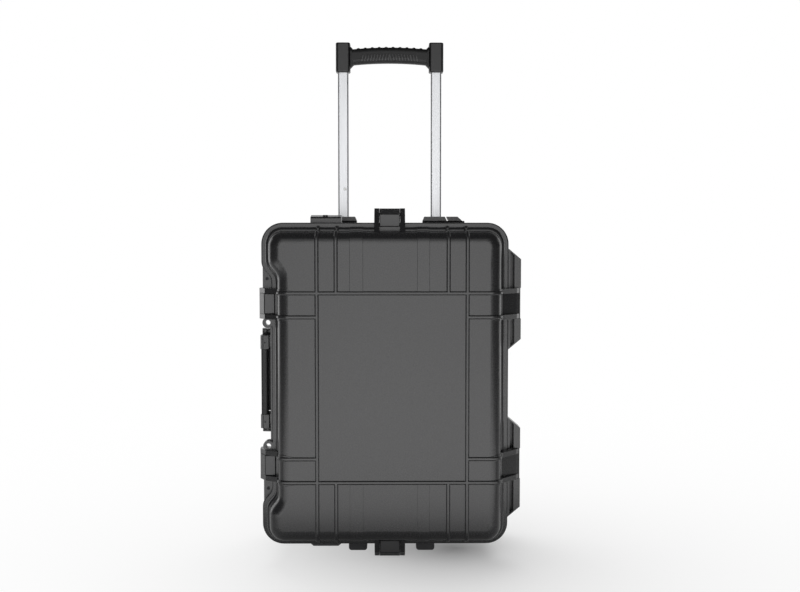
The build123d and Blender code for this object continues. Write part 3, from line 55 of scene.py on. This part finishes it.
def add_node(tree, kind, inputs=None, **settings):
    """Add one shader node, set its properties, then fill or link its inputs."""
    node = tree.nodes.new("ShaderNode" + kind)
    for key, value in settings.items():
        setattr(node, key, value)
    for socket, value in (inputs or {}).items():
        if isinstance(value, bpy.types.NodeSocket):
            tree.links.new(value, node.inputs[socket])
        else:
            node.inputs[socket].default_value = value
    return node


scene = bpy.context.scene
scene.view_settings.view_transform = "Standard"
bpy.ops.object.select_all(action="DESELECT")

CAMERA_PLACE = (0.0, -1.994, 0.562)
CAMERA_PITCH = 2.94
CAMERA_YAW = 0.531
bpy.ops.object.camera_add(location=CAMERA_PLACE,
                          rotation=(math.radians(90 - CAMERA_PITCH), 0, math.radians(-CAMERA_YAW)))
camera = bpy.context.object
camera.name = "studio_camera"
camera.data.lens = 50.0
camera.data.sensor_width = 36.0
camera.data.clip_end = 100.0
scene.camera = camera

# The paper is lit and shaded near the object. A painted white glow lifts it towards plain white with
# distance from a point a little to the right of its middle, so a painted shadow lies deepest there.
FLOOR_SIZE = 30.0
PAINTED_SHADE_CENTRE = (0.12, 0.0, 0.0)
PAINTED_SHADE_FADE = 3.2            # per metre
PAINTED_GLOW_LEAST = 0.12           # how far the painted glow lifts the paper towards white at that point
bpy.ops.mesh.primitive_plane_add(size=FLOOR_SIZE, location=(0, 0, 0))
floor = bpy.context.object
floor.name = "studio_floor"
paper = bpy.data.materials.new("matte_paper")
paper.use_nodes = True
tree = paper.node_tree
shader = tree.nodes["Principled BSDF"]
shader.inputs["Base Color"].default_value = srgb("F2F2F2")
shader.inputs["Roughness"].default_value = 0.9
shader.inputs["Specular IOR Level"].default_value = 0.1
place = add_node(tree, "TexCoord")
# painted glow, weakest at the shade centre, leaves a painted shadow on the paper round it
reach = add_node(tree, "VectorMath", {0: place.outputs["Object"], 1: PAINTED_SHADE_CENTRE},
                 operation="DISTANCE")
drop = add_node(tree, "Math", {0: reach.outputs["Value"], 1: -PAINTED_SHADE_FADE}, operation="MULTIPLY")
shade = add_node(tree, "Math", {0: drop.outputs[0]}, operation="EXPONENT")
fade = add_node(tree, "MapRange", {"Value": shade.outputs[0], "From Min": 0.0, "From Max": 1.0,
                                   "To Min": 1.0, "To Max": PAINTED_GLOW_LEAST})
where = add_node(tree, "SeparateXYZ", {0: place.outputs["Object"]})
behind = add_node(tree, "MapRange", {"Value": where.outputs["Y"], "From Min": 0.3, "From Max": 2.0},
                  interpolation_type="SMOOTHSTEP")
rays = add_node(tree, "LightPath")
gloss = add_node(tree, "Math", {0: rays.outputs["Is Glossy Ray"], 1: behind.outputs[0]},
                 operation="MULTIPLY")
seen = add_node(tree, "Math", {0: rays.outputs["Is Camera Ray"], 1: gloss.outputs[0]},
                operation="MAXIMUM")
white = add_node(tree, "Math", {0: fade.outputs[0], 1: seen.outputs[0]}, operation="MULTIPLY")
glow = add_node(tree, "Emission", {"Color": srgb("FFFFFF"), "Strength": 1.0})
blend = add_node(tree, "MixShader", {0: white.outputs[0], 1: shader.outputs[0], 2: glow.outputs[0]})
tree.links.new(blend.outputs[0], tree.nodes["Material Output"].inputs["Surface"])
floor.data.materials.append(paper)

# Gloss sees the white wall behind the object up to head height, and a dim room elsewhere.
ROOM_FRONT = 0.05   # what gloss sees on the camera's side of the room and overhead
ROOM_FILL = 0.18    # soft light from all round
world = bpy.data.worlds.new("studio_room")
scene.world = world
world.use_nodes = True
tree = world.node_tree
tree.nodes.clear()
way = add_node(tree, "TexCoord")
parts = add_node(tree, "SeparateXYZ", {0: way.outputs["Generated"]})
back = add_node(tree, "MapRange", {"Value": parts.outputs["Y"], "From Min": 0.2, "From Max": 0.9,
                                   "To Min": 0.0, "To Max": 1.0}, interpolation_type="SMOOTHSTEP")
low = add_node(tree, "MapRange", {"Value": parts.outputs["Z"], "From Min": 0.25, "From Max": 0.55,
                                  "To Min": 1.0, "To Max": 0.0}, interpolation_type="SMOOTHSTEP")
wall = add_node(tree, "Math", {0: back.outputs[0], 1: low.outputs[0]}, operation="MULTIPLY")
lit = add_node(tree, "Math", {0: wall.outputs[0], 1: ROOM_FRONT}, operation="MAXIMUM")
rays = add_node(tree, "LightPath")
gloss = add_node(tree, "Math", {0: rays.outputs["Is Glossy Ray"], 1: lit.outputs[0]},
                 operation="MULTIPLY")
seen = add_node(tree, "Math", {0: rays.outputs["Is Camera Ray"],
                               1: rays.outputs["Is Transmission Ray"]},
                operation="MAXIMUM")
shown = add_node(tree, "Math", {0: seen.outputs[0], 1: gloss.outputs[0]}, operation="MAXIMUM")
fill = add_node(tree, "Math", {0: rays.outputs["Is Diffuse Ray"], 1: ROOM_FILL},
                operation="MULTIPLY")
level = add_node(tree, "Math", {0: shown.outputs[0], 1: fill.outputs[0]}, operation="MAXIMUM")
air = add_node(tree, "Background", {"Color": srgb("FFFFFF"), "Strength": level.outputs[0]})
add_node(tree, "OutputWorld", {"Surface": air.outputs[0]})

LIGHTS = (
    # name, place, target, width, height, watts, in diffuse light, in gloss
    ("front_panel", (0.0, -2.3, 0.72), (0, 0, 0.72), 1.5, 1.4, 16.3, True, True),
    ("upper_panel", (0.0, -2.2, 1.95), (0, 0, 0.6), 1.5, 1.0, 5.0, True, True),
    ("floor_card", (0.0, -1.35, 0.012), (0, -1.35, 1), 2.0, 1.9, 24.5, False, True),
    ("top_panel", (0.0, 1.1, 2.0), (0, 0, 0.45), 2.2, 1.2, 34, True, False),
    ("left_panel", (-2.0, 1.0, 0.8), (0, 0, 0.4), 0.9, 1.8, 8, True, True),
    ("right_panel", (2.0, 1.0, 0.8), (0, 0, 0.4), 0.9, 1.8, 5, True, True),
)
for name, place, target, width, height, watts, in_diffuse, in_gloss in LIGHTS:
    bpy.ops.object.light_add(type="AREA", location=place)
    lamp = bpy.context.object
    lamp.name = name
    lamp.data.shape = "RECTANGLE"
    lamp.data.size = width
    lamp.data.size_y = height
    lamp.data.energy = watts
    lamp.visible_camera = False
    lamp.visible_diffuse = in_diffuse
    lamp.visible_glossy = in_gloss
    lamp.rotation_euler = (Vector(target) - Vector(place)).to_track_quat("-Z", "Y").to_euler()
bpy.ops.object.select_all(action="DESELECT")


# ==== Shells
# Base and lid are injection-moulded polypropylene, 4 mm thick, in charcoal. The mould's
# spark-eroded grain leaves a fine even stipple with a soft sheen, and every edge is painted paler as a
# painted highlight.
EDGE_HIGHLIGHT_GAIN = 3.2       # how much brighter than the skin the painted edge highlight is at its fullest


def new_material(name):
    """A material with nodes: returns it, its tree and its main shader."""
    material = bpy.data.materials.new(name)
    material.use_nodes = True
    return material, material.node_tree, material.node_tree.nodes["Principled BSDF"]


def dress(names, material):
    """Put this material on every listed CAD node."""
    for name in names:
        for slot in nodes[name].material_slots:
            slot.material = material


def moulded_plastic(name, code, rough, grain_mm, grain_depth, edge_mm, edge_highlight=0.35):
    """Moulded plastic or rubber: faint flow marks, a stippled skin and softened edges with a painted
    highlight.
    """
    material, tree, shader = new_material(name)
    place = add_node(tree, "TexCoord")
    flow = add_node(tree, "TexNoise", {"Vector": place.outputs["Object"],
                                       "Scale": 7.0, "Detail": 1.0})
    shade = add_node(tree, "ValToRGB", {"Fac": flow.outputs["Fac"]})
    dark, light = srgb(code), [c * 1.1 for c in srgb(code)[:3]] + [1.0]
    shade.color_ramp.elements[0].color = dark
    shade.color_ramp.elements[0].position = 0.2
    shade.color_ramp.elements[1].color = light
    shade.color_ramp.elements[1].position = 0.8
    # an edge is where the rounded normal leaves the face's own; a painted highlight makes it paler there
    edges = add_node(tree, "Bevel", {"Radius": edge_mm / 1000}, samples=6)
    face = add_node(tree, "NewGeometry")
    turn = add_node(tree, "VectorMath", {0: edges.outputs[0], 1: face.outputs["Normal"]},
                    operation="DOT_PRODUCT")
    painted_edge_highlight = add_node(tree, "MapRange", {"Value": turn.outputs["Value"],
                                         "From Min": 0.99, "From Max": 0.85,
                                         "To Min": 0.0, "To Max": edge_highlight})
    edge_lit_skin = add_node(tree, "Mix", {0: painted_edge_highlight.outputs[0], 6: shade.outputs["Color"],
                                  7: [c * EDGE_HIGHLIGHT_GAIN for c in srgb(code)[:3]] + [1.0]}, data_type="RGBA")
    grain = add_node(tree, "TexNoise", {"Vector": place.outputs["Object"], "Scale": 1000 / grain_mm,
                                        "Detail": 2.0, "Roughness": 0.6})
    skin = add_node(tree, "Bump", {"Strength": 0.5, "Distance": grain_depth / 1000,
                                   "Height": grain.outputs["Fac"], "Normal": edges.outputs[0]})
    worn = add_node(tree, "MapRange", {"Value": grain.outputs["Fac"],
                                       "From Min": 0.2, "From Max": 0.8,
                                       "To Min": rough - 0.03, "To Max": rough + 0.03})
    tree.links.new(edge_lit_skin.outputs[2], shader.inputs["Base Color"])
    tree.links.new(worn.outputs[0], shader.inputs["Roughness"])
    tree.links.new(skin.outputs["Normal"], shader.inputs["Normal"])
    return material


shell_plastic = moulded_plastic("polypropylene_stippled_charcoal", "222223", 0.27, 1.4, 0.05, 0.7)
dress(["base_shell", "base_rim", "lid_shell", "handle_plate"], shell_plastic)


# ==== Hinge pins and corner rivets
# Two drawn stainless-steel pins join the lid's and base's hinge blocks. Blackened steel rivets
# sit in the corner plates of the rim.
def drawn_metal(name, code, rough, streak_mm, run_mm, axis, depth_mm):
    """Drawn, ground or extruded metal, with fine streaks along one axis."""
    material, tree, shader = new_material(name)
    place = add_node(tree, "TexCoord")
    scale = [1000 / streak_mm] * 3
    scale["XYZ".index(axis)] = 1000 / run_mm
    along = add_node(tree, "Mapping", {"Vector": place.outputs["Object"], "Scale": scale})
    streaks = add_node(tree, "TexNoise", {"Vector": along.outputs[0], "Scale": 1.0, "Detail": 3.0})
    worn = add_node(tree, "MapRange", {"Value": streaks.outputs["Fac"],
                                       "From Min": 0.3, "From Max": 0.7,
                                       "To Min": rough - 0.05, "To Max": rough + 0.06})
    edges = add_node(tree, "Bevel", {"Radius": 0.0004}, samples=6)
    skin = add_node(tree, "Bump", {"Strength": 0.4, "Distance": depth_mm / 1000,
                                   "Height": streaks.outputs["Fac"], "Normal": edges.outputs[0]})
    shade = add_node(tree, "ValToRGB", {"Fac": streaks.outputs["Fac"]})
    shade.color_ramp.elements[0].color = [c * 0.93 for c in srgb(code)[:3]] + [1.0]
    shade.color_ramp.elements[0].position = 0.3
    shade.color_ramp.elements[1].color = srgb(code)
    shade.color_ramp.elements[1].position = 0.7
    shader.inputs["Metallic"].default_value = 1.0
    tree.links.new(shade.outputs["Color"], shader.inputs["Base Color"])
    tree.links.new(worn.outputs[0], shader.inputs["Roughness"])
    tree.links.new(skin.outputs["Normal"], shader.inputs["Normal"])
    return material


pin_steel = drawn_metal("stainless_steel_drawn", "A8A8A6", 0.3, 0.3, 12.0, "Z", 0.01)
dress(["hinge_pin_upper", "hinge_pin_lower"], pin_steel)
black_steel = drawn_metal("steel_blackened", "2C2C2D", 0.4, 0.4, 3.0, "Z", 0.01)
dress(["corner_rivets"], black_steel)


# ==== Seal
# A solid cord of EPDM rubber lies in the groove round the lid's rim and seals the case shut.
# Extruded rubber is matte, and its skin is fine and slightly bloomed.
seal_rubber = moulded_plastic("epdm_cord_black", "1B1B1C", 0.62, 0.5, 0.05, 0.3, edge_highlight=0.1)
dress(["gasket"], seal_rubber)


# ==== Foam in the base
# A block of open-cell polyurethane foam, cut by knife to take the laptop, with a tray for its
# charger behind. Cut cells scatter light, so it is a deep matte grey with a pitted skin, and each pit's
# hollow is painted darker as painted shade.
FOAM_CELL = 1.6         # mm, drawn coarser than the real 0.6 mm so that it shows
FOAM_PIT = 0.7          # mm
FOAM_EDGE = 0.0025      # how far a cut edge has softened
foam, tree, shader = new_material("polyurethane_foam_open_cell")
place = add_node(tree, "TexCoord")
cells = add_node(tree, "TexVoronoi", {"Vector": place.outputs["Object"],
                                      "Scale": 1000 / FOAM_CELL})
drift = add_node(tree, "TexNoise", {"Vector": place.outputs["Object"],
                                    "Scale": 22.0, "Detail": 4.0})
shade = add_node(tree, "ValToRGB", {"Fac": drift.outputs["Fac"]})
shade.color_ramp.elements[0].color = srgb("3C3C3F")
shade.color_ramp.elements[0].position = 0.3
shade.color_ramp.elements[1].color = srgb("4C4C50")
shade.color_ramp.elements[1].position = 0.7
# painted shade: the colour darkens towards the bottom of each cell's hollow
pit_shade_mask = add_node(tree, "MapRange", {"Value": cells.outputs["Distance"],
                                   "From Min": 0.1, "From Max": 0.7,
                                   "To Min": 0.45, "To Max": 1.0})
painted_pit_shade = add_node(tree, "Mix", {0: pit_shade_mask.outputs[0], 6: srgb("1A1A1B"), 7: shade.outputs["Color"]},
                 data_type="RGBA")
skin = add_node(tree, "Bump", {"Strength": 0.8, "Distance": FOAM_PIT / 1000,
                               "Height": cells.outputs["Distance"]})
tree.links.new(painted_pit_shade.outputs[2], shader.inputs["Base Color"])
tree.links.new(skin.outputs["Normal"], shader.inputs["Normal"])
shader.inputs["Roughness"].default_value = 0.95
shader.inputs["Specular IOR Level"].default_value = 0.2
shader.inputs["Sheen Weight"].default_value = 0.15
shader.inputs["Sheen Roughness"].default_value = 0.6


def merged_copy(node, name):
    """A new object with a copy of a CAD node's mesh, its triangles joined and its flats whole."""
    piece = bpy.data.objects.new(name, nodes[node].data.copy())
    scene.collection.objects.link(piece)
    bpy.ops.object.select_all(action="DESELECT")
    piece.select_set(True)
    bpy.context.view_layer.objects.active = piece
    bpy.ops.mesh.customdata_custom_splitnormals_clear()
    bpy.ops.object.mode_set(mode="EDIT")
    bpy.ops.mesh.select_all(action="SELECT")
    bpy.ops.mesh.remove_doubles(threshold=0.00001)
    bpy.ops.mesh.normals_make_consistent(inside=False)
    bpy.ops.mesh.dissolve_limited(angle_limit=math.radians(2))
    bpy.ops.object.mode_set(mode="OBJECT")
    return piece


def finish_piece(piece, material, body):
    """Give a new piece its only material and the body it rides on."""
    piece.data.materials.clear()
    piece.data.materials.append(material)
    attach(piece, body)
    bpy.ops.object.select_all(action="DESELECT")


cut_foam = merged_copy("base_foam", "laptop_foam_cut")
soften = cut_foam.modifiers.new("softened_cuts", "BEVEL")
soften.width = FOAM_EDGE
soften.segments = 3
soften.limit_method = "ANGLE"
soften.angle_limit = math.radians(50)
soften.use_clamp_overlap = True
bpy.ops.object.modifier_apply(modifier=soften.name)
bpy.ops.object.shade_smooth_by_angle(angle=math.radians(35))
finish_piece(cut_foam, foam, "base")
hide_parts("base_foam")


# ==== Foam in the lid
# The same foam, run through a profile cutter that leaves rows of peaks and hollows, and glued into
# the lid. The peaks press on the laptop's cover and hold it still.
PEAK_PITCH = 0.042      # between neighbouring peaks of a row
PEAK_STEPS = 8          # faces from peak to peak
HOLLOW_DEPTH = 0.018
PEAK_BELOW = 0.0003     # from a peak to the front of the foam
PEAK_REACH = 0.55       # of the pitch, how far a peak pulls the sheet up round it
CUT_PAST = 0.004        # how far the cutter runs out behind the foam
low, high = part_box("lid_foam")
across = math.ceil((high.x - low.x) / PEAK_PITCH) + 1
up = math.ceil((high.z - low.z) / PEAK_PITCH) + 1
bpy.ops.object.select_all(action="DESELECT")
bpy.ops.mesh.primitive_grid_add(x_subdivisions=across * PEAK_STEPS, y_subdivisions=up * PEAK_STEPS,
                                size=1.0,
                                location=((low.x + high.x) / 2, high.y - HOLLOW_DEPTH,
                                          (low.z + high.z) / 2),
                                rotation=(math.radians(-90), 0, 0),
                                scale=(across * PEAK_PITCH, up * PEAK_PITCH, 1))
profile = bpy.context.object
profile.name = "profile_cut"
bpy.ops.object.transform_apply(location=True, rotation=True, scale=True)
columns = sorted({round(v.co.x, 5) for v in profile.data.vertices})
rows = sorted({round(v.co.z, 5) for v in profile.data.vertices})
bpy.ops.object.mode_set(mode="EDIT")
bpy.ops.mesh.select_mode(type="VERT")
bpy.ops.mesh.select_all(action="DESELECT")
sheet = bmesh.from_edit_mesh(profile.data)
half = PEAK_STEPS // 2
for vertex in sheet.verts:
    column, row = columns.index(round(vertex.co.x, 5)), rows.index(round(vertex.co.z, 5))
    vertex.select_set(column % half == 0 and row % half == 0
                      and (column // half + row // half) % 2 == 0)
sheet.select_flush_mode()
bmesh.update_edit_mesh(profile.data)
bpy.ops.transform.translate(value=(0, HOLLOW_DEPTH - PEAK_BELOW, 0), use_proportional_edit=True,
                            proportional_edit_falloff="SMOOTH", proportional_size=PEAK_PITCH * PEAK_REACH)
bpy.ops.mesh.select_all(action="SELECT")
bpy.ops.mesh.extrude_region_move(TRANSFORM_OT_translate={"value": (0, low.y - CUT_PAST - high.y, 0)})
bpy.ops.transform.resize(value=(1, 0, 1), center_override=(0, low.y - CUT_PAST, 0))
bpy.ops.mesh.select_all(action="SELECT")
bpy.ops.mesh.normals_make_consistent(inside=False)
bpy.ops.object.mode_set(mode="OBJECT")

lid_pad = merged_copy("lid_foam", "lid_foam_profiled")
trim = lid_pad.modifiers.new("profile", "BOOLEAN")
trim.operation = "INTERSECT"
trim.object = profile
bpy.ops.object.modifier_apply(modifier=trim.name)
bpy.data.objects.remove(profile, do_unlink=True)
bpy.ops.object.shade_smooth_by_angle(angle=math.radians(50))
finish_piece(lid_pad, foam, "lid")
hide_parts("lid_foam")


# ==== Latches
# Four levers are moulded in glass-filled nylon, with a finer grain than the shells. Each turns on
# a drawn stainless-steel pin pressed into the lid's ears and snaps over the base's rim.
latch_plastic = moulded_plastic("glass_filled_nylon_black", "262627", 0.33, 0.9, 0.03, 0.6)
dress(["latch_top", "latch_bottom", "latch_upper", "latch_lower"], latch_plastic)
dress(["latch_pin_top", "latch_pin_bottom", "latch_pin_upper", "latch_pin_lower"], pin_steel)


# ==== Side handle
# A nylon frame folds on two pins in brackets on the base, and its bar is overmoulded with
# thermoplastic rubber with finger bumps. It lies flat against a smooth plate on the tub.
grip_rubber = moulded_plastic("thermoplastic_rubber_black", "0E0E0F", 0.6, 0.6, 0.05, 0.6, edge_highlight=0.2)
dress(["handle_bracket_upper", "handle_bracket_lower"], shell_plastic)
dress(["handle_frame"], latch_plastic)
dress(["handle_grip"], grip_rubber)
dress(["handle_pin_upper", "handle_pin_lower"], pin_steel)


# ==== Valve and feet
# The pressure valve is a moulded box with a turning knob on the roof of the base. Two feet and an
# end pad, moulded in the shells' plastic, carry the case upright; their colour is painted paler, as
# painted light on feet that sit in shade.
dress(["valve_body"], shell_plastic)
# the paler grey is painted light, not the plastic's own colour
lit_foot_plastic = moulded_plastic("polypropylene_painted_light_grey", "3E3E40", 0.38, 1.1, 0.06, 0.8)
dress(["end_pad", "end_foot_left", "end_foot_right"], lit_foot_plastic)
dress(["valve_knob"], latch_plastic)


# ==== Trolley tubes
# Two 20 by 13 mm aluminium tubes, satin anodised, slide in mill-finish sleeves inside the base and
# run through moulded collars. Acetal bushes guide them and a sprung steel button locks them.
tube_metal = drawn_metal("aluminium_satin_anodised", "B5B6B8", 0.34, 0.35, 80.0, "Z", 0.01)
dress(["trolley_tube_left", "trolley_tube_right"], tube_metal)
sleeve_metal = drawn_metal("aluminium_mill_finish", "9C9DA0", 0.42, 0.5, 60.0, "Z", 0.02)
dress(["trolley_sleeve_left", "trolley_sleeve_right"], sleeve_metal)
bush_plastic = moulded_plastic("acetal_black", "2A2A2B", 0.3, 0.8, 0.01, 0.4, edge_highlight=0.2)
dress(["tube_bush_left", "tube_bush_right"], bush_plastic)
dress(["snap_button"], pin_steel)
dress(["trolley_collar_left", "trolley_collar_right", "trolley_bracket", "back_cover"],
      shell_plastic)
dress(["cover_screws"], black_steel)


# ==== Trolley grip
# A moulded core between two smooth end caps, inside a sleeve of thermoplastic rubber with knuckles
# on top. Twenty short ribs lean together on its front, so that the hand doesn't slip.
RIBS = 20
RIB_PITCH = 0.0055
RIB_WIDE, RIB_DEEP, RIB_TALL = 0.0019, 0.0024, 0.0115
RIB_SLANT = 0.0028      # how far a rib's top leans towards the middle
RIB_HEIGHT = 0.9017     # of the ribs' middle, above the floor
RIB_PROUD = 0.0011      # in front of the rubber
RUBBER_THICK = 0.006    # in front of the core
RIB_TUCK = 0.0011       # how far a rib's foot follows the rubber's rounding back
RIB_EDGE = 0.0005       # rounding of a rib's edges
GRIP_ARC = 0.0055 / 0.0873 ** 2     # how fast the grip drops towards its ends
cap_plastic = moulded_plastic("polypropylene_smooth_black", "101011", 0.4, 0.9, 0.02, 1.0, edge_highlight=0.25)
dress(["grip_end_cap_left", "grip_end_cap_right", "grip_core"], cap_plastic)
dress(["grip_sleeve"], grip_rubber)
rib_rubber = moulded_plastic("thermoplastic_rubber_polished", "3A3A3B", 0.3, 0.6, 0.02, 0.3,
                             edge_highlight=0.5)
grip_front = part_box("grip_core")[0].y - RUBBER_THICK
bpy.ops.object.select_all(action="DESELECT")
bpy.ops.mesh.primitive_cube_add(size=1.0,
                                location=(0, grip_front - RIB_PROUD + RIB_DEEP / 2, RIB_HEIGHT),
                                scale=(RIB_WIDE, RIB_DEEP, RIB_TALL))
first_rib = bpy.context.object
bpy.ops.object.transform_apply(location=True, rotation=True, scale=True)
bpy.ops.object.mode_set(mode="EDIT")
bpy.ops.mesh.select_mode(type="VERT")
for above, move in ((True, (RIB_SLANT, 0, 0)), (False, (0, RIB_TUCK, 0))):
    # the top leans over, and the foot follows the rubber's rounding back
    bpy.ops.mesh.select_all(action="DESELECT")
    bar = bmesh.from_edit_mesh(first_rib.data)
    for vertex in bar.verts:
        vertex.select_set((vertex.co.z > RIB_HEIGHT) == above)
    bar.select_flush_mode()
    bmesh.update_edit_mesh(first_rib.data)
    bpy.ops.transform.translate(value=move)
bpy.ops.mesh.select_all(action="SELECT")
bpy.ops.mesh.bevel(offset=RIB_EDGE, segments=2)
bpy.ops.object.mode_set(mode="OBJECT")
ribs = []
for k in range(RIBS):
    along = (k - (RIBS - 1) / 2) * RIB_PITCH
    bpy.ops.object.select_all(action="DESELECT")
    first_rib.select_set(True)
    bpy.context.view_layer.objects.active = first_rib
    bpy.ops.object.duplicate(linked=False)
    rib = bpy.context.object
    if along > 0:
        bpy.ops.transform.mirror(constraint_axis=(True, False, False), center_override=(0, 0, 0))
    bpy.ops.transform.translate(value=(along, 0, -GRIP_ARC * along ** 2))
    bpy.ops.object.transform_apply(location=True, rotation=True, scale=True)
    ribs.append(rib)
bpy.data.objects.remove(first_rib, do_unlink=True)
bpy.ops.object.select_all(action="DESELECT")
for rib in ribs:
    rib.select_set(True)
bpy.context.view_layer.objects.active = ribs[0]
bpy.ops.object.join()
front_ribs = bpy.context.object
front_ribs.name = "grip_front_ribs"
bpy.ops.object.mode_set(mode="EDIT")
bpy.ops.mesh.select_all(action="SELECT")
bpy.ops.mesh.normals_make_consistent(inside=False)
bpy.ops.object.mode_set(mode="OBJECT")
bpy.ops.object.shade_smooth_by_angle(angle=math.radians(40))
finish_piece(front_ribs, rib_rubber, "trolley")


# ==== Wheels
# Cast polyurethane tyres on moulded nylon hubs run on ball bearings and 8 mm ground steel axles, in
# yokes moulded in the shells' plastic, in the base's lower corners.
tyre_rubber = moulded_plastic("polyurethane_cast_black", "252526", 0.45, 0.7, 0.04, 0.6, edge_highlight=0.2)
dress(["wheel_tyre_left", "wheel_tyre_right"], tyre_rubber)
hub_plastic = moulded_plastic("nylon_moulded_grey", "3A3A3B", 0.4, 0.9, 0.03, 0.5, edge_highlight=0.2)
dress(["wheel_hub_left", "wheel_hub_right"], hub_plastic)
bearing_steel = drawn_metal("bearing_steel_ground", "ADADAB", 0.25, 0.2, 10.0, "X", 0.005)
dress(["wheel_bearings_left", "wheel_bearings_right", "axle_left", "axle_right"], bearing_steel)
dress(["wheel_yoke_left", "wheel_yoke_right"], shell_plastic)
